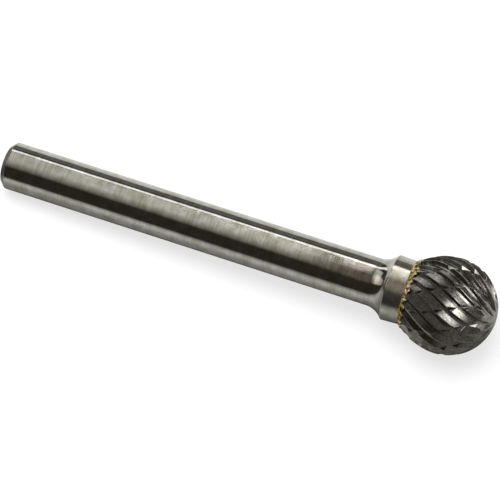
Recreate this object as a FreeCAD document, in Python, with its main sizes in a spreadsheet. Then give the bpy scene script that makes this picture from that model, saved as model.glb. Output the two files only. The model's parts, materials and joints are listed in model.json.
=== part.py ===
import FreeCAD, Part

import math
import os

import Sketcher

# A rotary burr with a ball head. The head is solid tungsten carbide with double-cut teeth,
# and it is brazed to the flat face of a turned and ground steel shank.
# Each piece is built upright on the burr's own axis: height 0 is the shank's free end,
# and the nose is on top. Turns are counted about that axis from the side that ends up underneath.
# At the end the burr is laid down as it comes to rest, on two teeth and the rim of its shank.

SIZES = (
    ("shank_dia", 6.0, "ground shank, as a collet grips it"),
    ("shank_length", 48.46, "straight shank, with its end chamfer"),
    ("shank_chamfer", 0.65, "chamfer round the shank's free end"),
    ("flare_length", 2.24, "hollow flare from the shank out to the collar"),
    ("collar_rear_dia", 8.2, "collar where the flare meets it in a sharp corner"),
    ("collar_front_dia", 8.0, "collar at its brazed face"),
    ("collar_length", 2.3, "collar from the flare to its brazed face"),
    ("braze_thickness", 0.3, "layer of braze between the two flat faces, as wide as its bead"),
    ("bead_dia", 8.3, "bead of braze where it meets the head"),
    ("head_dia", 12.0, "over the teeth"),
    ("head_length", 10.84, "from the flat back to the nose"),
    ("head_back_dia", 8.46, "head at its flat back"),
    ("flute_count", 24, "right-hand flutes, every second one short"),
    ("flute_helix", 27.0, "degrees to the axis at the head's widest place"),
    ("flute_depth", 0.37, "at the head's widest place"),
    ("flute_floor", 0.32, "width of the flute's floor"),
    ("flute_land", 0.08, "width of ball left behind each cutting edge"),
    ("rake_lean", 28.0, "degrees that a tooth's front face leans back from straight out"),
    ("long_flute_end", 80.0, "latitude in degrees where a long flute has run out"),
    ("short_flute_end", 58.0, "latitude in degrees where a short flute has run out"),
    ("flute_runout", 14.0, "degrees of latitude over which a groove rises out of the ball"),
    ("nose_widening", 0.45, "how much wider the long flutes grow past the short ones"),
    ("notch_count", 12, "left-hand cross cuts that part each tooth into short ones"),
    ("notch_helix", 27.0, "degrees to the axis at the head's widest place"),
    ("notch_depth", 0.35, "at the head's widest place"),
    ("notch_width", 0.8, "across the notch at the ball's surface"),
    ("notch_end", 68.0, "latitude in degrees where a cross cut has run out"),
    ("notch_offset", 6.5, "degrees from a cross cut to the next long edge, at the head's widest place"),
)

# Heights along the burr's axis, each worked out from the sheet.
COLLAR_REAR = "(sizes.shank_length + sizes.flare_length)"
COLLAR_FRONT = f"({COLLAR_REAR} + sizes.collar_length)"
HEAD_BACK = f"({COLLAR_FRONT} + sizes.braze_thickness)"
NOSE = f"({HEAD_BACK} + sizes.head_length)"
BALL_CENTRE = f"({NOSE} - sizes.head_dia / 2)"

# An arc that leaves a straight line at a tangent, and its reach along and across that line.
TANGENT_ARC = "(({along}) ^ 2 + ({across}) ^ 2) / (2 * ({across}))"
FLARE_RADIUS = TANGENT_ARC.format(
    along="sizes.flare_length",
    across="(sizes.collar_rear_dia - sizes.shank_dia) / 2",
)
HEAD_BACK_RADIUS = TANGENT_ARC.format(
    along="(sizes.head_length - sizes.head_dia / 2)",
    across="(sizes.head_dia - sizes.head_back_dia) / 2",
)

# An arc's hollow side: inwards is towards the axis, as on the ball.
HOLLOW_INWARDS = 1
HOLLOW_OUTWARDS = -1

# Each outline goes round half of the piece's section, from the axis at its lower end.
# A corner is its radius, its height, and for an arc to the next corner that arc's radius and hollow side.
SHANK_OUTLINE = (
    ("0", "0", None),
    ("sizes.shank_dia / 2 - sizes.shank_chamfer", "0", None),
    ("sizes.shank_dia / 2", "sizes.shank_chamfer", None),
    ("sizes.shank_dia / 2", "sizes.shank_length", (FLARE_RADIUS, HOLLOW_OUTWARDS)),
    ("sizes.collar_rear_dia / 2", COLLAR_REAR, None),
    ("sizes.collar_front_dia / 2", COLLAR_FRONT, None),
    ("0", COLLAR_FRONT, None),
)
BRAZE_OUTLINE = (
    ("0", COLLAR_FRONT, None),
    ("sizes.collar_front_dia / 2", COLLAR_FRONT, None),
    ("sizes.bead_dia / 2", HEAD_BACK, None),
    ("0", HEAD_BACK, None),
)
HEAD_OUTLINE = (
    ("0", HEAD_BACK, None),
    ("sizes.head_back_dia / 2", HEAD_BACK, (HEAD_BACK_RADIUS, HOLLOW_INWARDS)),
    ("sizes.head_dia / 2", BALL_CENTRE, ("sizes.head_dia / 2", HOLLOW_INWARDS)),
    ("0", NOSE, None),
)

# How far a cutter stands out of the ball, in flute depths, so that nothing is left over a groove.
CLEARANCE_SHARE = 0.3
# Degrees between the places where a cutter's section is set.
SECTION_STEP = 12.0
# Degrees by which a cutter overshoots the head's flat back.
BACK_OVERSHOOT = 5.0
# How near two points have to be to count as one.
SAME_POINT = 1e-6

# A cutting edge can touch the floor between these latitudes, and is searched in so many steps.
TOUCHING_LATITUDE = 30
TOUCHING_STEPS = 600
# Rounds in which the burr's resting turn and tilt settle on each other.
RESTING_ROUNDS = 4


def make_sheet(doc):
    sheet = doc.addObject("Spreadsheet::Sheet", "sizes")
    for row, (alias, value, note) in enumerate(SIZES, start=1):
        sheet.set(f"A{row}", note)
        sheet.set(f"B{row}", str(value))
        sheet.setAlias(f"B{row}", alias)
    doc.recompute()
    return sheet


def arc_between(start, end, radius, hollow):
    """The short arc from start to end, with its centre inwards or outwards of its chord."""
    chord = end - start
    middle = (start + end) / 2
    inwards = FreeCAD.Vector(-chord.y, chord.x, 0).normalize()
    height = math.sqrt(radius**2 - (chord.Length / 2) ** 2)
    crest = middle - inwards * hollow * (radius - height)
    return Part.Arc(start, crest, end)


def draw_outline(sketch, sheet, outline):
    """Draw a closed half section, with every corner and arc bound to the sheet."""
    corners = [
        FreeCAD.Vector(float(sheet.evalExpression(radius)), float(sheet.evalExpression(height)), 0)
        for radius, height, _ in outline
    ]
    for index, (_, _, arc) in enumerate(outline):
        start = corners[index]
        end = corners[(index + 1) % len(corners)]
        if arc is None:
            sketch.addGeometry(Part.LineSegment(start, end), False)
        else:
            radius, hollow = arc
            sketch.addGeometry(arc_between(start, end, float(sheet.evalExpression(radius)), hollow), False)

    # An arc is stored anticlockwise, so one that runs the other way has its first corner at its second end.
    first_end = []
    for index, corner in enumerate(corners):
        first_end.append(1 if (sketch.getPoint(index, 1) - corner).Length < SAME_POINT else 2)

    for index, (radius, height, arc) in enumerate(outline):
        following = (index + 1) % len(outline)
        sketch.addConstraint(
            Sketcher.Constraint("Coincident", index, 3 - first_end[index], following, first_end[following])
        )
        bind_corner(sketch, index, first_end[index], radius, height)
        if arc is not None:
            bind(sketch, Sketcher.Constraint("Radius", index, sketch.Geometry[index].Radius), arc[0])


def bind_corner(sketch, index, end, radius, height):
    """Fix one corner of an outline. What lies at zero is held on the sketch's own axis."""
    point = sketch.getPoint(index, end)
    if radius == "0":
        sketch.addConstraint(Sketcher.Constraint("PointOnObject", index, end, -2))
    else:
        bind(sketch, Sketcher.Constraint("DistanceX", index, end, point.x), radius)
    if height == "0":
        sketch.addConstraint(Sketcher.Constraint("PointOnObject", index, end, -1))
    else:
        bind(sketch, Sketcher.Constraint("DistanceY", index, end, point.y), height)


def bind(sketch, constraint, expression):
    number = sketch.addConstraint(constraint)
    sketch.setExpression(f"Constraints[{number}]", expression)


def turned_body(doc, sheet, label, outline):
    """A piece turned in one go: its half section, swept round the burr's axis."""
    body = doc.addObject("PartDesign::Body", label)
    body.Label = label
    sketch = body.newObject("Sketcher::SketchObject", f"{label}_section")
    planes = {feature.Role: feature for feature in body.Origin.OriginFeatures}
    sketch.AttachmentSupport = [(planes["XZ_Plane"], "")]
    sketch.MapMode = "FlatFace"
    draw_outline(sketch, sheet, outline)
    turning = body.newObject("PartDesign::Revolution", f"{label}_turning")
    turning.Profile = sketch
    turning.ReferenceAxis = (sketch, ["V_Axis"])
    turning.Angle = 360
    sketch.Visibility = False
    doc.recompute()
    return body


class Ball:
    """The head's form before its teeth are ground. Latitude is the way the surface faces, 90 at the nose."""

    def __init__(self, sheet):
        self.size = lambda expression: float(sheet.evalExpression(expression))
        self.radius = self.size("sizes.head_dia / 2")
        self.centre = self.size(BALL_CENTRE)
        self.back_radius = self.size(HEAD_BACK_RADIUS)
        self.back_reach = self.size("sizes.head_length - sizes.head_dia / 2")
        self.clearance = self.size("sizes.flute_depth") * CLEARANCE_SHARE

    def back_latitude(self):
        """Where the surface meets the head's flat back."""
        return -math.degrees(math.asin(self.back_reach / self.back_radius))

    def place(self, latitude):
        """Radius and height above the ball's centre."""
        facing = math.radians(latitude)
        if latitude >= 0:
            return self.radius * math.cos(facing), self.radius * math.sin(facing)
        narrowing = self.back_radius * (1 - math.cos(facing))
        return self.radius - narrowing, self.back_radius * math.sin(facing)

    def slant(self, latitude, helix):
        """A groove's angle to the meridian. Its lead is constant, so it straightens towards the nose."""
        facing = math.radians(latitude)
        radius, _ = self.place(latitude)
        return math.atan(math.tan(math.radians(helix)) * radius / self.radius * math.cos(facing))

    def section(self, latitude, helix, turn, outline):
        """A cutter's section, square to its path. Its points go across, as the burr turns, and outwards."""
        facing = math.radians(latitude)
        radius, height = self.place(latitude)
        bearing = math.radians(turn) + height / self.radius * math.tan(math.radians(helix))
        outwards = FreeCAD.Vector(math.cos(bearing), math.sin(bearing), 0)
        round_axis = FreeCAD.Vector(-math.sin(bearing), math.cos(bearing), 0)
        along_axis = FreeCAD.Vector(0, 0, 1)
        normal = outwards * math.cos(facing) + along_axis * math.sin(facing)
        meridian = along_axis * math.cos(facing) - outwards * math.sin(facing)
        slant = self.slant(latitude, helix)
        across = round_axis * math.cos(slant) - meridian * math.sin(slant)
        start = outwards * radius + along_axis * (self.centre + height)
        corners = [start + across * step + normal * rise for step, rise in outline]
        return Part.makePolygon(corners + corners[:1])


def flute_outline(ball, latitude, widening, lift):
    """A flute's section: one tooth's front face, the floor, and the next tooth's long back.

    It starts at the cutting edge. All of it shrinks with the room between two flutes.
    """
    size = ball.size
    helix = size("sizes.flute_helix")
    radius, _ = ball.place(latitude)
    widest = 2 * math.pi * ball.radius / size("sizes.flute_count") * math.cos(math.radians(helix))
    pitch = 2 * math.pi * radius / size("sizes.flute_count") * math.cos(ball.slant(latitude, helix))
    share = min(1, pitch * widening / widest)
    lean = math.tan(math.radians(size("sizes.rake_lean")))
    depth = size("sizes.flute_depth") * share
    foot = depth * lean
    heel = foot + size("sizes.flute_floor") * share
    back = (widest - size("sizes.flute_land")) * share
    # The ball falls away from its tangent at the cutting edge, and the tooth's back runs up to the ball.
    fallen = ball.radius - math.sqrt(ball.radius**2 - back**2)
    slope = (depth - fallen) / (back - heel)
    clearance = ball.clearance
    outline = (
        (-clearance * lean, clearance),
        (foot, -depth),
        (heel, -depth),
        (back + (clearance + fallen) / slope, clearance),
    )
    return lifted(outline, depth, clearance, lift)


def notch_share(ball, latitude):
    """A cross cut narrows with the ball, but more slowly than the flutes do."""
    radius, _ = ball.place(latitude)
    return math.sqrt(radius / ball.radius)


def notch_outline(ball, latitude, lift):
    """A cross cut's plain V section."""
    share = notch_share(ball, latitude)
    depth = ball.size("sizes.notch_depth") * share
    half_width = ball.size("sizes.notch_width") / 2 * share
    top = half_width * (depth + ball.clearance) / depth
    outline = ((-top, ball.clearance), (0, -depth), (top, ball.clearance))
    return lifted(outline, depth, ball.clearance, lift)


def lifted(outline, depth, clearance, lift):
    """A section risen out of the ball, as the wheel leaves it. A lift of 1 has it wholly clear."""
    return [(across, rise + lift * (depth + clearance / 2)) for across, rise in outline]


def eased(value):
    """From 0 to 1 with a soft start and end."""
    share = min(max(value, 0), 1)
    return share * share * (3 - 2 * share)


def cutter(ball, end, helix, turn, outline_at):
    """What one pass of the grinding wheel takes away, from behind the head's back to where it rises out."""
    runout = ball.size("sizes.flute_runout")
    start = ball.back_latitude() - BACK_OVERSHOOT
    steps = math.ceil((end - start) / SECTION_STEP)
    sections = []
    for step in range(steps + 1):
        latitude = start + (end - start) * step / steps
        lift = max((latitude - end + runout) / runout, 0) ** 2
        sections.append(ball.section(latitude, helix, turn, outline_at(latitude, lift)))
    return Part.makeLoft(sections, True, False)


def turned_copies(shape, count, pitch):
    copies = []
    for index in range(count):
        copy = shape.copy()
        copy.rotate(FreeCAD.Vector(0, 0, 0), FreeCAD.Vector(0, 0, 1), index * pitch)
        copies.append(copy)
    return copies


def flute_cutters(ball, first_edge):
    size = ball.size
    count = round(size("sizes.flute_count"))
    pitch = 360 / count
    helix = size("sizes.flute_helix")
    long_end = size("sizes.long_flute_end")
    short_end = size("sizes.short_flute_end")
    runout = size("sizes.flute_runout")

    def long_outline(latitude, lift):
        widening = 1 + size("sizes.nose_widening") * eased((latitude - short_end + runout) / runout)
        return flute_outline(ball, latitude, widening, lift)

    def short_outline(latitude, lift):
        return flute_outline(ball, latitude, 1, lift)

    long_flute = cutter(ball, long_end, helix, first_edge, long_outline)
    short_flute = cutter(ball, short_end, helix, first_edge + pitch, short_outline)
    long_flutes = turned_copies(long_flute, (count + 1) // 2, 2 * pitch)
    return long_flutes + turned_copies(short_flute, count // 2, 2 * pitch)


def notch_cutters(ball, first_edge):
    size = ball.size
    count = round(size("sizes.notch_count"))
    left_hand = -size("sizes.notch_helix")
    turn = first_edge - size("sizes.notch_offset")

    def outline(latitude, lift):
        return notch_outline(ball, latitude, lift)

    notch = cutter(ball, size("sizes.notch_end"), left_hand, turn, outline)
    return turned_copies(notch, count, 360 / count)


class Rest:
    """How the burr comes to lie: on two neighbouring cutting edges and the rim of its shank."""

    def __init__(self, ball):
        self.ball = ball
        size = ball.size
        self.pitch = 360 / size("sizes.flute_count")
        self.twist = math.degrees(math.tan(math.radians(size("sizes.flute_helix"))) / ball.radius)
        self.notch_pitch = 360 / size("sizes.notch_count")
        self.notch_offset = size("sizes.notch_offset")
        self.notch_twist = -math.degrees(math.tan(math.radians(size("sizes.notch_helix"))) / ball.radius)
        self.notch_helix = size("sizes.notch_helix")
        self.notch_half = size("sizes.notch_width / 2")
        self.rim = size("sizes.shank_dia / 2")
        self.reach = ball.centre - size("sizes.shank_chamfer")
        self.tilt = 0
        for _ in range(RESTING_ROUNDS):
            self.first_edge = self.level_turn()
            self.depth = self.edge_depth(self.first_edge, 0)
            sight = math.asin(self.depth / math.hypot(self.reach, self.rim))
            self.tilt = sight - math.atan2(self.rim, self.reach)

    def level_turn(self):
        """The first cutting edge's turn at which it and the one before it reach down equally far."""
        near, far = 0, self.pitch
        for _ in range(40):
            turn = (near + far) / 2
            if self.edge_depth(turn, 0) > self.edge_depth(turn, -self.pitch):
                near = turn
            else:
                far = turn
        return (near + far) / 2

    def edge_depth(self, first_edge, offset):
        """How far below the ball's centre one cutting edge reaches, where no cross cut has taken it away."""
        depth = 0
        for step in range(TOUCHING_STEPS + 1):
            latitude = TOUCHING_LATITUDE * (2 * step / TOUCHING_STEPS - 1)
            radius, height = self.ball.place(latitude)
            turn = first_edge + offset + height * self.twist
            cut = first_edge - self.notch_offset + height * self.notch_twist
            aside = abs((turn - cut + self.notch_pitch / 2) % self.notch_pitch - self.notch_pitch / 2)
            distance = math.radians(aside) * radius * math.cos(self.ball.slant(latitude, self.notch_helix))
            if distance >= self.notch_half * notch_share(self.ball, latitude):
                across = radius * math.cos(math.radians(turn))
                depth = max(depth, across * math.cos(self.tilt) - height * math.sin(self.tilt))
        return depth

    def placement(self):
        """The upright burr laid along X, nose forward, with its middle over the origin and the floor at 0."""
        ball = self.ball
        nose_reach = ball.centre * math.cos(self.tilt) + ball.radius
        tail_reach = -ball.size("sizes.shank_dia / 2 - sizes.shank_chamfer") * math.sin(self.tilt)
        shank_end = FreeCAD.Vector(
            -(nose_reach + tail_reach) / 2,
            0,
            self.depth - ball.centre * math.sin(self.tilt),
        )
        turned = FreeCAD.Rotation(FreeCAD.Vector(0, 1, 0), 90 - math.degrees(self.tilt))
        return FreeCAD.Placement(shank_end, turned)


def ground_head(doc, sheet, ball, first_edge, label):
    """The head, ground from its turned blank: the flutes first, then the cross cuts that part the teeth."""
    blank = turned_body(doc, sheet, f"{label}_blank", HEAD_OUTLINE)
    head = doc.addObject("Part::Feature", label)
    head.Label = label
    fluted = blank.Shape.cut(flute_cutters(ball, first_edge))
    head.Shape = fluted.cut(notch_cutters(ball, first_edge))
    return head


def check(doc, pieces):
    """Stop before anything is written if a piece failed."""
    for item in doc.Objects:
        if "Invalid" in item.State or "Error" in item.State:
            raise RuntimeError(f"{item.Label} failed: {item.State}")
    for piece in pieces:
        if piece.Shape.isNull() or not piece.Shape.isValid() or len(piece.Shape.Solids) != 1:
            raise RuntimeError(f"{piece.Label} is not one sound solid")


def main():
    doc = FreeCAD.newDocument("rotary_burr")
    sheet = make_sheet(doc)
    shank = turned_body(doc, sheet, "shank", SHANK_OUTLINE)
    braze_joint = turned_body(doc, sheet, "braze_joint", BRAZE_OUTLINE)
    ball = Ball(sheet)
    rest = Rest(ball)
    carbide_head = ground_head(doc, sheet, ball, rest.first_edge, "carbide_head")
    pieces = (shank, braze_joint, carbide_head)

    for piece in pieces:
        piece.Placement = rest.placement()
    doc.recompute()
    check(doc, pieces)

    os.makedirs("parts", exist_ok=True)
    for piece in pieces:
        piece.Shape.exportStep(f"parts/{piece.Label}.step")


main()
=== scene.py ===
import json
import math

import bpy
from mathutils import Matrix, Vector, noise


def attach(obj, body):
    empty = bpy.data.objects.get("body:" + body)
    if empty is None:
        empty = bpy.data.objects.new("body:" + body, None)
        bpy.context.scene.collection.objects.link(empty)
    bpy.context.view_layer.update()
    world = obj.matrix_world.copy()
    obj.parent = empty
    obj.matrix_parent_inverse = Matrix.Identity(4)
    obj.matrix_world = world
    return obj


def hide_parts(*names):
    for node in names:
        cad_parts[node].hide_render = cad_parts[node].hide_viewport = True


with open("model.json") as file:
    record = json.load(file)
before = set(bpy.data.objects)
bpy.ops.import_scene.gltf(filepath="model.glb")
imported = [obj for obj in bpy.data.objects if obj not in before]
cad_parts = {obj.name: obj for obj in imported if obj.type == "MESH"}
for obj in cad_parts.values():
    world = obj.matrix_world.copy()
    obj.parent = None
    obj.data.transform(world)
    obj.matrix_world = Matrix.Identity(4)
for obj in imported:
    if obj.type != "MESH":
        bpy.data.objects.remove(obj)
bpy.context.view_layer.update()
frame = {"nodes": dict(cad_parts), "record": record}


# Heights along the burr's own axis from the shank's free end, and radii, all in mm as in the CAD model.
MM = 0.001
SHANK_R = 3.0
CHAMFER = 0.65
FLARE_START = 48.46
COLLAR_REAR = 50.7
COLLAR_REAR_R = 4.1
COLLAR_FRONT = 53.0
COLLAR_FRONT_R = 4.0
HEAD_BACK = 53.3
HEAD_BACK_R = 4.23
BALL_CENTRE = 58.14
BALL_R = 6.0

# The flutes wind round the ball at 27 degrees: this is their turn per mm of height.
FLUTES = 24
FLUTE_TWIST = math.tan(math.radians(27)) / BALL_R
FIRST_EDGE = math.radians(8.74)

# The burr's axis, from the record's two mounts: local Z runs to the nose, local X to the side that lies underneath.
mounts = {mount["name"]: mount for mount in frame["record"]["mounts"]}
to_nose = -Vector(mounts["collet_shank"]["axis"]).normalized()
across_burr = Vector((0, 1, 0))
under = across_burr.cross(to_nose)
AXIS = Matrix((under, across_burr, to_nose)).transposed().to_4x4()
AXIS.translation = Vector(mounts["shank_end"]["pos_m"])


def linear(code):
    """An sRGB hex colour as linear RGBA."""
    values = [int(code[i : i + 2], 16) / 255 for i in (1, 3, 5)]
    return [v / 12.92 if v <= 0.04045 else ((v + 0.055) / 1.055) ** 2.4 for v in values] + [1]


def new_material(name):
    """An empty material and its node tree."""
    material = bpy.data.materials.new(name)
    material.use_nodes = True
    material.node_tree.nodes.clear()
    return material, material.node_tree


def add(tree, kind, settings=None, stops=(), **inputs):
    """A shader node with its settings, a ramp's stops of (place, colour), and each input set or linked.

    An input is named with _ for a space, or as i and its number.
    """
    node = tree.nodes.new(kind)
    for key, value in (settings or {}).items():
        setattr(node, key, value)
    if stops:
        elements = node.color_ramp.elements
        while len(elements) < len(stops):
            elements.new(0.5)
        for element, (place, colour) in zip(elements, stops):
            element.position = place
            element.color = colour
    for key, value in inputs.items():
        numbered = key[0] == "i" and key[1:].isdigit()
        socket = node.inputs[int(key[1:]) if numbered else key.replace("_", " ")]
        if isinstance(value, bpy.types.NodeSocket):
            tree.links.new(value, socket)
        else:
            socket.default_value = value
    return node


def ground_steel():
    """Tool steel. The shank is cylindrically ground and the collar only turned, so its marks blur more along it."""
    material, tree = new_material("ground_steel")
    place = add(tree, "ShaderNodeTexCoord").outputs["Object"]
    height = add(tree, "ShaderNodeSeparateXYZ", Vector=place).outputs[2]

    # The marks run round the axis, both on the round shank and on its flat end.
    # They are hundredths of a millimetre wide, and drawn about 0.1 mm wide, so that they show.
    flat = add(tree, "ShaderNodeVectorMath", {"operation": "MULTIPLY"}, i0=place, i1=(1, 1, 0)).outputs[0]
    radius = add(tree, "ShaderNodeVectorMath", {"operation": "LENGTH"}, i0=flat).outputs["Value"]
    path = add(tree, "ShaderNodeMath", {"operation": "ADD"}, i0=height, i1=radius).outputs[0]
    stretched = add(tree, "ShaderNodeMath", {"operation": "MULTIPLY"}, i0=path, i1=9000).outputs[0]
    across = add(tree, "ShaderNodeCombineXYZ", Z=stretched).outputs[0]
    lines = add(
        tree, "ShaderNodeVectorMath", {"operation": "MULTIPLY_ADD"}, i0=place, i1=(60, 60, 0), i2=across
    ).outputs[0]
    marks = add(tree, "ShaderNodeTexNoise", Vector=lines, Scale=1.0, Detail=4.0, Roughness=0.6).outputs["Fac"]
    bump = add(tree, "ShaderNodeBump", Height=marks, Strength=0.16, Distance=0.00001).outputs[0]

    # The gloss is uneven in clouds of about 1.1 mm, and the turned collar is duller.
    cloud = add(tree, "ShaderNodeTexNoise", Vector=place, Scale=900.0, Detail=4.0).outputs["Fac"]
    ground = add(tree, "ShaderNodeMapRange", Value=cloud, To_Min=0.08, To_Max=0.16).outputs[0]
    turned = add(
        tree,
        "ShaderNodeMapRange",
        Value=height,
        From_Min=(COLLAR_REAR - 0.4) * MM,
        From_Max=COLLAR_REAR * MM,
        To_Max=0.12,
    ).outputs[0]
    rough = add(tree, "ShaderNodeMath", {"operation": "ADD"}, i0=ground, i1=turned).outputs[0]

    # Oil and handling leave the bright steel faintly uneven in tone, along the marks and in small clouds.
    mottle = add(tree, "ShaderNodeMath", {"operation": "ADD"}, i0=cloud, i1=marks).outputs[0]
    tone = add(tree, "ShaderNodeMapRange", Value=mottle, From_Min=0.75, From_Max=1.25).outputs[0]
    tones = ((0.0, linear("#aeac9c")), (0.5, linear("#c3c2bc")), (1.0, linear("#d6d5d4")))
    colour = add(tree, "ShaderNodeValToRGB", stops=tones, i0=tone).outputs[0]

    round_axis = add(tree, "ShaderNodeTangent", {"direction_type": "RADIAL", "axis": "Z"}).outputs[0]
    steel = add(
        tree,
        "ShaderNodeBsdfPrincipled",
        Base_Color=colour,
        Metallic=1.0,
        Roughness=rough,
        Anisotropic=0.85,
        Anisotropic_Rotation=0.25,
        Tangent=round_axis,
        Normal=bump,
    )
    add(tree, "ShaderNodeOutputMaterial", Surface=steel.outputs[0])
    return material


def braze_alloy():
    """Silver-brass filler as it froze: golden, with dark flux stains, and pale and coppery patches."""
    material, tree = new_material("braze_alloy")
    place = add(tree, "ShaderNodeTexCoord").outputs["Object"]

    # Stains are about 0.9 mm across.
    blotch = add(
        tree, "ShaderNodeTexNoise", Vector=place, Scale=1100.0, Detail=3.0, Roughness=0.6
    ).outputs["Fac"]
    stains = (
        (0.34, linear("#2d2a1c")),
        (0.42, linear("#8f8448")),
        (0.50, linear("#d6c07a")),
        (0.58, linear("#efe4c4")),
        (0.66, linear("#c4947a")),
    )
    colour = add(tree, "ShaderNodeValToRGB", stops=stains, i0=blotch).outputs[0]

    # The frozen skin ripples every quarter of a millimetre.
    fine = add(tree, "ShaderNodeTexNoise", Vector=place, Scale=4000.0, Detail=2.0).outputs["Fac"]
    bump = add(tree, "ShaderNodeBump", Height=fine, Strength=0.4, Distance=0.00005).outputs[0]
    braze = add(
        tree, "ShaderNodeBsdfPrincipled", Base_Color=colour, Metallic=1.0, Roughness=0.2, Normal=bump
    )
    add(tree, "ShaderNodeOutputMaterial", Surface=braze.outputs[0])
    return material


def tungsten_carbide():
    """Sintered tungsten carbide, ground with a fine diamond wheel along every flute and tooth."""
    material, tree = new_material("tungsten_carbide")
    place = add(tree, "ShaderNodeTexCoord").outputs["Object"]

    # The wheel's marks follow the flutes, so the pattern's place is untwisted about the burr's axis.
    # They are hundredths of a millimetre wide, and drawn about 0.1 mm wide, so that they show.
    own = add(
        tree,
        "ShaderNodeMapping",
        {"vector_type": "TEXTURE"},
        Vector=place,
        Location=AXIS.to_translation(),
        Rotation=AXIS.to_euler(),
    ).outputs[0]
    height = add(tree, "ShaderNodeSeparateXYZ", Vector=own).outputs[2]
    twist = add(
        tree, "ShaderNodeMath", {"operation": "MULTIPLY"}, i0=height, i1=-FLUTE_TWIST / MM
    ).outputs[0]
    untwisted = add(
        tree, "ShaderNodeVectorRotate", {"rotation_type": "Z_AXIS"}, Vector=own, Angle=twist
    ).outputs[0]
    lines = add(tree, "ShaderNodeMapping", Vector=untwisted, Scale=(10000, 10000, 600)).outputs[0]
    marks = add(tree, "ShaderNodeTexNoise", Vector=lines, Scale=1.0, Detail=3.0, Roughness=0.6).outputs["Fac"]
    rough = add(
        tree, "ShaderNodeMapRange", Value=marks, From_Min=0.3, From_Max=0.7, To_Min=0.12, To_Max=0.28
    ).outputs[0]

    # Flecks of binder and dried coolant, about 0.3 mm across, mottle the ground faces.
    cloud = add(tree, "ShaderNodeTexNoise", Vector=place, Scale=3400.0, Detail=3.0).outputs["Fac"]
    flecks = ((0.32, linear("#7c786c")), (0.5, linear("#96948e")), (0.68, linear("#aba9a6")))
    unshaded_colour = add(tree, "ShaderNodeValToRGB", stops=flecks, i0=cloud).outputs[0]

    # Painted shade: the flutes are coloured darker than the tooth tops where ambient occlusion finds them closed
    # in.
    painted_shade_ao = add(tree, "ShaderNodeAmbientOcclusion", {"samples": 8}, Distance=0.0007).outputs["AO"]
    share = add(tree, "ShaderNodeMapRange", Value=painted_shade_ao, From_Min=0.35, From_Max=0.85).outputs[0]
    colour = add(
        tree, "ShaderNodeMix", {"data_type": "RGBA"}, Factor=share, A=linear("#4a4743"), B=unshaded_colour
    ).outputs[2]

    # The cutting edges catch the light as if they were 0.07 mm round.
    edges = add(tree, "ShaderNodeBevel", {"samples": 8}, Radius=0.00007).outputs[0]
    bump = add(
        tree, "ShaderNodeBump", Height=marks, Strength=0.5, Distance=0.00001, Normal=edges
    ).outputs[0]
    carbide = add(
        tree, "ShaderNodeBsdfPrincipled", Base_Color=colour, Metallic=1.0, Roughness=rough, Normal=bump
    )
    add(tree, "ShaderNodeOutputMaterial", Surface=carbide.outputs[0])
    return material


def new_object(name, points, faces, material):
    """A mesh object in the scene, its points in metres."""
    mesh = bpy.data.meshes.new(name)
    mesh.from_pydata(points, [], faces)
    mesh.materials.append(material)
    obj = bpy.data.objects.new(name, mesh)
    bpy.context.scene.collection.objects.link(obj)
    return obj


def burr_piece(name, points, faces, material):
    """A smooth piece of the burr, its points in mm in the burr's own axis frame."""
    obj = new_object(name, [Vector(point) * MM for point in points], faces, material)
    obj.data.shade_smooth()
    obj.matrix_world = AXIS
    return obj


def rounded(before, corner, after, radius):
    """Points of a small rounding at an outline's corner, with a close point before and after it."""
    middle = Vector(corner)
    a = (Vector(before) - middle).normalized()
    b = (Vector(after) - middle).normalized()
    steps = 5
    close = 1.6 * radius
    points = [middle + a * close]
    for step in range(steps + 1):
        t = step / steps
        bend = (middle + a * radius) * (1 - t) ** 2 + middle * 2 * t * (1 - t) + (middle + b * radius) * t**2
        points.append(bend)
    points.append(middle + b * close)
    return [tuple(point) for point in points]


def lathe(name, outline, material):
    """An outline of (radius, height) turned round the axis. It starts and ends on the axis."""
    turns = 288
    points = [(0, 0, outline[0][1])]
    for radius, height in outline[1:-1]:
        for turn in range(turns):
            angle = 2 * math.pi * turn / turns
            points.append((radius * math.cos(angle), radius * math.sin(angle), height))
    points.append((0, 0, outline[-1][1]))
    rings = len(outline) - 2
    last = len(points) - 1
    top = 1 + (rings - 1) * turns
    faces = []
    for turn in range(turns):
        following = (turn + 1) % turns
        faces.append((0, 1 + following, 1 + turn))
        for ring in range(rings - 1):
            low = 1 + ring * turns
            high = low + turns
            faces.append((low + turn, low + following, high + following, high + turn))
        faces.append((top + turn, top + following, last))
    return burr_piece(name, points, faces, material)


def make_shank():
    """The turned and ground shank: bevelled end, straight part, hollow flare and slightly tapered collar."""
    reach = COLLAR_REAR - FLARE_START
    rise = COLLAR_REAR_R - SHANK_R
    flare_r = (reach**2 + rise**2) / (2 * rise)
    end_r = SHANK_R - CHAMFER
    rear = (COLLAR_REAR_R, COLLAR_REAR)
    front = (COLLAR_FRONT_R, COLLAR_FRONT)

    outline = [(0, 0), (1.2, 0)]
    outline += rounded((0, 0), (end_r, 0), (SHANK_R, CHAMFER), 0.05)
    outline += rounded((end_r, 0), (SHANK_R, CHAMFER), (SHANK_R, 2), 0.06)
    outline += [(SHANK_R, height) for height in (1.5, 8, 16, 24, 32, 40, 46, 48)]
    flare_steps = 24
    for step in range(flare_steps):
        angle = math.asin(reach / flare_r) * step / flare_steps
        outline.append((SHANK_R + flare_r * (1 - math.cos(angle)), FLARE_START + flare_r * math.sin(angle)))
    outline += rounded(outline[-1], rear, front, 0.05)
    for share in (0.3, 0.7):
        outline.append(tuple(Vector(rear).lerp(Vector(front), share)))
    outline += rounded(rear, front, (0, COLLAR_FRONT), 0.07)
    outline += [(3.0, COLLAR_FRONT), (0, COLLAR_FRONT)]
    return lathe("shank_turned", outline, ground_steel())


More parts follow.
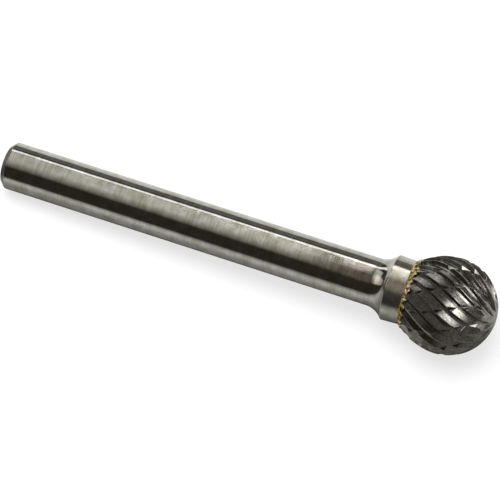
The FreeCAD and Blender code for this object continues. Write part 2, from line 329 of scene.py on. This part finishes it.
def head_radius(height):
    """The head's radius over its teeth, behind its widest place."""
    behind = BALL_CENTRE - height
    reach = BALL_CENTRE - HEAD_BACK
    narrowing = BALL_R - HEAD_BACK_R
    back_r = (reach**2 + narrowing**2) / (2 * narrowing)
    return BALL_R - back_r + math.sqrt(back_r**2 - behind**2)


def make_braze():
    """The filler squeezed out round the joint: an uneven bead that has run into the starts of the flutes."""
    turns, rows = 720, 22
    pitch = 2 * math.pi / FLUTES
    edge = FIRST_EDGE + (HEAD_BACK - BALL_CENTRE) * FLUTE_TWIST
    points = []
    for turn in range(turns):
        angle = 2 * math.pi * turn / turns
        spot = Vector((math.cos(angle), math.sin(angle), 0))
        wave = noise.noise(spot * 2.3) + 0.5 * noise.noise(spot * 6.1 + Vector((3, 1, 7)))
        fine = noise.noise(spot * 17 + Vector((9, 2, 5)))

        # A tongue of filler fills the start of each flute, and runs further into some than into others.
        flute = (angle - edge) / pitch
        number = math.floor(flute)
        run = 0.5 + 0.5 * noise.noise(Vector((number % FLUTES * 1.7, 0.3, 0.9)))
        tongue = math.exp(-(((flute - number - 0.32) / 0.2) ** 2))

        start = COLLAR_FRONT - 0.13 - 0.06 * wave - 0.02 * fine
        end = HEAD_BACK + 0.24 + 0.08 * wave + 0.03 * fine + (0.08 + 0.4 * run) * tongue
        bulge = 0.16 + 0.05 * wave
        for row in range(rows + 1):
            share = row / rows
            height = start + (end - start) * share
            base = COLLAR_FRONT_R - 0.015
            if height > COLLAR_FRONT:
                mixed = min((height - COLLAR_FRONT) / (HEAD_BACK - COLLAR_FRONT), 1)
                over_head = head_radius(max(height, HEAD_BACK)) - 0.05 - 0.16 * tongue
                base += (over_head - base) * mixed
            # Both borders dip under the surface that they lie on.
            sink = 0.05 * max(0.08 - share, 0) / 0.08 + 0.3 * max(share - 0.85, 0) / 0.15
            lump = noise.noise(Vector((math.cos(angle) * 4.2, math.sin(angle) * 4.2, height)) * 1.7)
            radius = base + (bulge + 0.16 * lump) * math.sin(math.pi * min(share * 1.1, 1)) ** 0.7 - sink
            points.append((radius * math.cos(angle), radius * math.sin(angle), height))
    faces = []
    for turn in range(turns):
        following = (turn + 1) % turns
        for row in range(rows):
            a = turn * (rows + 1) + row
            b = following * (rows + 1) + row
            faces.append((a, b, b + 1, a + 1))
    return burr_piece("braze_bead", points, faces, braze_alloy())


shank = make_shank()
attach(shank, "root")
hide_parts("shank")

braze = make_braze()
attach(braze, "root")
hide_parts("braze_joint")

head = frame["nodes"]["carbide_head"]
head.data.materials.clear()
head.data.materials.append(tungsten_carbide())


def floor_material():
    """Matt white table. The camera sees it plain, with the burr's shadow, and the metal mirrors it darker, in
    painted shade.
    """
    material, tree = new_material("floor_white")
    place = add(tree, "ShaderNodeTexCoord").outputs["Object"]
    split = add(tree, "ShaderNodeSeparateXYZ", Vector=place)
    along, across = split.outputs[0], split.outputs[1]

    # Painted shade: the share of light that the metal sees in the floor, by the distance in mm to the burr's side.
    painted_shade_shares = (
        (-100, 0.19),
        (-68, 0.3),
        (-32, 0.5),
        (-21, 0.66),
        (-15, 0.66),
        (-11, 0.57),
        (-7, 0.37),
        (-3, 0.29),
        (3, 1),
        (40, 0.8),
    )
    reach = 100
    side = add(
        tree, "ShaderNodeMapRange", Value=across, From_Min=-reach * MM, From_Max=reach * MM
    ).outputs[0]
    stops = [(0.5 + mm / reach / 2, [value] * 3 + [1]) for mm, value in painted_shade_shares]
    share = add(tree, "ShaderNodeValToRGB", stops=stops, i0=side).outputs[0]

    # The painted shade is darker far beyond the tail, ahead of the collar, close round the ball as its shadow, and
    # just beyond the tail.
    ball_spot = tuple(AXIS @ Vector((0, 0, BALL_CENTRE * MM)) * Vector((1, 1, 0)))
    tail_spot = (-0.056, 0.002, 0)
    from_ball, from_tail = [
        add(tree, "ShaderNodeVectorMath", {"operation": "DISTANCE"}, i0=place, i1=spot).outputs["Value"]
        for spot in (ball_spot, tail_spot)
    ]
    ahead = add(
        tree, "ShaderNodeMapRange", Value=across, From_Min=-0.015, From_Max=-0.004, To_Min=0.4, To_Max=0.88
    ).outputs[0]
    for value, start, end, first, last in (
        (along, -0.4, -0.1, 0.15, 1.0),
        (along, 0.0185, 0.024, 1.0, ahead),
        (from_ball, 0.005, 0.016, 0.45, 1.0),
        (from_tail, 0.019, 0.023, 0.2, 1.0),
    ):
        part = add(
            tree, "ShaderNodeMapRange", Value=value, From_Min=start, From_Max=end, To_Min=first, To_Max=last
        ).outputs[0]
        share = add(tree, "ShaderNodeMath", {"operation": "MULTIPLY"}, i0=share, i1=part).outputs[0]
    tone = add(
        tree, "ShaderNodeMix", {"data_type": "RGBA"}, Factor=share, A=linear("#201f1d"), B=linear("#dcdbd6")
    ).outputs[2]
    mirrored_painted_shade = add(tree, "ShaderNodeBsdfDiffuse", Color=tone)

    matt = add(tree, "ShaderNodeBsdfDiffuse", Color=linear("#a0a0a0"))
    white = add(tree, "ShaderNodeEmission", Color=linear("#ffffff"), Strength=0.66)
    seen = add(tree, "ShaderNodeAddShader", i0=matt.outputs[0], i1=white.outputs[0])
    ray = add(tree, "ShaderNodeLightPath").outputs["Is Camera Ray"]
    both = add(tree, "ShaderNodeMixShader", i0=ray, i1=mirrored_painted_shade.outputs[0], i2=seen.outputs[0])
    add(tree, "ShaderNodeOutputMaterial", Surface=both.outputs[0])
    return material


def card_material(name, across, along, strength, colour):
    """A clear glowing sheet. Both ranges are where its glow starts, is full, starts to fade, and ends."""
    material, tree = new_material(name)
    place = add(tree, "ShaderNodeTexCoord").outputs["UV"]
    split = add(tree, "ShaderNodeSeparateXYZ", Vector=place)
    power = strength
    for socket, (start, full, fading, end) in ((split.outputs[0], across), (split.outputs[1], along)):
        for dark, bright in ((start, full), (end, fading)):
            part = add(
                tree, "ShaderNodeMapRange", Value=socket, From_Min=dark, From_Max=bright
            ).outputs[0]
            power = add(tree, "ShaderNodeMath", {"operation": "MULTIPLY"}, i0=part, i1=power).outputs[0]
    glow = add(tree, "ShaderNodeEmission", Color=linear(colour), Strength=power)
    clear = add(tree, "ShaderNodeBsdfTransparent")
    seen = add(tree, "ShaderNodeAddShader", i0=clear.outputs[0], i1=glow.outputs[0])
    add(tree, "ShaderNodeOutputMaterial", Surface=seen.outputs[0])
    return material


def light_card(
    name, pieces, across, soft_across, along, soft_along, strength, colour="#ffffff", bend=(0, 0), tube_r=None
):
    """A bent card over the burr, seen only in the reflections of some pieces, or of all where none is named.

    Across is in degrees from straight up towards +Y, and along in degrees towards the nose, half a metre away.
    With a tube_r, in mm, the card is part of a tube round the burr's axis, and along is in mm from its middle.
    The soft widths at its borders are in the same units. Bend turns its two sides more, towards the tail.
    """
    distance = 0.5
    shank_middle = 0.032
    bend_start, bend_length = -17, 43
    steps = 16
    points, places = [], []
    for i in range(steps + 1):
        for j in range(steps + 1):
            side = across[0] + (across[1] - across[0]) * i / steps
            lead = along[0] + (along[1] - along[0]) * j / steps
            curl = max(0, (bend_start - lead) / bend_length) ** 2
            a = math.radians(side + (bend[0] + (bend[1] - bend[0]) * i / steps) * curl)
            b = math.radians(lead)
            outwards = across_burr * math.sin(a) - under * math.cos(a)
            if tube_r:
                points.append(AXIS @ Vector((0, 0, shank_middle + lead * MM)) + outwards * tube_r * MM)
            else:
                points.append((to_nose * math.sin(b) + outwards * math.cos(b)) * distance)
            places.append((side, lead))
    row = steps + 1
    faces = [
        (i * row + j, i * row + j + 1, (i + 1) * row + j + 1, (i + 1) * row + j)
        for i in range(steps)
        for j in range(steps)
    ]
    spans = [
        (span[0], span[0] + soft[0], span[1] - soft[1], span[1])
        for span, soft in ((across, soft_across), (along, soft_along))
    ]
    card = new_object(name, points, faces, card_material(name, *spans, strength, colour))
    layer = card.data.uv_layers.new(name="place")
    for loop in card.data.loops:
        layer.data[loop.index].uv = places[loop.vertex_index]
    card.visible_camera = False
    card.visible_shadow = False
    card.visible_diffuse = False
    if pieces:
        lit = bpy.data.collections.new(name + "_reach")
        for piece in pieces:
            lit.objects.link(piece)
        card.light_linking.receiver_collection = lit


half = 4.0
floor = new_object(
    "floor",
    [(-half, -half, 0), (half, -half, 0), (half, half, 0), (-half, half, 0)],
    [(0, 1, 2, 3)],
    floor_material(),
)

# The shank and braze mirror a ceiling with bright strips, and the head mirrors a lamp and dim walls.
steel = (shank, braze)
light_card("ceiling", steel, (-38, 42), (38, 1), (-52, 2), (5, 2), 0.6, "#fffff3", tube_r=50)
light_card("patch", steel, (-36, 18), (5, 6), (-78, -27), (4, 4), 0.55, "#fff0ea")
light_card("wing", steel, (0, 58), (38, 6), (-5.2, -1), (1, 2), 9.2, "#fffdf6")
light_card("glow", steel, (-42, 62), (14, 4), (-6, 8), (1, 2), 0.42, "#ffe9cc")
light_card("strip", steel, (44, 56), (1.5, 1.5), (-60, 2), (4, 5), 1.4, bend=(36, 60))
light_card("side", (shank,), (-88, 62), (40, 10), (12, 80), (14, 10), 0.5)
light_card("lamp", (head, braze), (-15, 60), (12, 18), (17, 58), (16, 10), 3.6)
light_card("sky", (head,), (-50, 70), (10, 10), (-80, 85), (10, 10), 0.115, "#f4f2ea")
light_card("front", (head,), (-100, -40), (10, 10), (15, 85), (15, 10), 0.16, "#f4f2ea")
light_card("window", (head,), (44, 58), (3, 3), (-42, -16), (6, 4), 1.3)
light_card("back_wall", (head,), (58, 97), (12, 4), (-50, 2), (14, 5), 0.8)
light_card("far_wall", (), (62, 88), (3, 3), (-28, 75), (1, 1), 0.12)

# One wide soft lamp gives the floor its shadow, and shows in no reflection.
fill = bpy.data.lights.new("fill", "AREA")
fill.shape = "DISK"
fill.size = 0.5
fill.energy = 3.9
fill_lamp = bpy.data.objects.new("fill", fill)
bpy.context.scene.collection.objects.link(fill_lamp)
fill_lamp.location = (-0.1, 0.05, 0.7)
fill_lamp.rotation_euler = Vector(fill_lamp.location).to_track_quat("Z", "Y").to_euler()
fill_lamp.visible_glossy = False

# The metal mirrors a dim room, matt surfaces are lit by a white tent, and the camera sees white.
world = bpy.data.worlds.new("studio")
bpy.context.scene.world = world
world.use_nodes = True
tree = world.node_tree
tree.nodes.clear()
ray = add(tree, "ShaderNodeLightPath")
room = add(tree, "ShaderNodeBackground", Color=linear("#322e28"))
tent = add(tree, "ShaderNodeBackground", Color=linear("#ffffff"), Strength=0.55)
white = add(tree, "ShaderNodeBackground", Color=linear("#ffffff"))
lit = add(
    tree, "ShaderNodeMixShader", i0=ray.outputs["Is Diffuse Ray"], i1=room.outputs[0], i2=tent.outputs[0]
)
mixed = add(
    tree, "ShaderNodeMixShader", i0=ray.outputs["Is Camera Ray"], i1=lit.outputs[0], i2=white.outputs[0]
)
add(tree, "ShaderNodeOutputWorld", Surface=mixed.outputs[0])

# The camera looks down at the burr from the photo's angle, and aims just off its middle for the photo's framing.
camera = bpy.data.cameras.new("camera")
camera.lens = 223.3
camera.sensor_width = 36
camera.clip_start = 0.01
camera.clip_end = 20
camera_object = bpy.data.objects.new("camera", camera)
bpy.context.scene.collection.objects.link(camera_object)
azimuth, elevation = math.radians(20.94), math.radians(64.7)
level = Vector((math.sin(azimuth), -math.cos(azimuth), 0))
back = level * math.cos(elevation) + Vector((0, 0, math.sin(elevation)))
right = Vector((math.cos(azimuth), math.sin(azimuth), 0))
up = back.cross(right)
target = Vector((0, 0, 0.005)) + right * 0.00034 + up * -0.00126
camera_object.location = target + back * 0.38
camera_object.rotation_euler = back.to_track_quat("Z", "Y").to_euler()
bpy.context.scene.camera = camera_object
bpy.context.scene.view_settings.view_transform = "Standard"
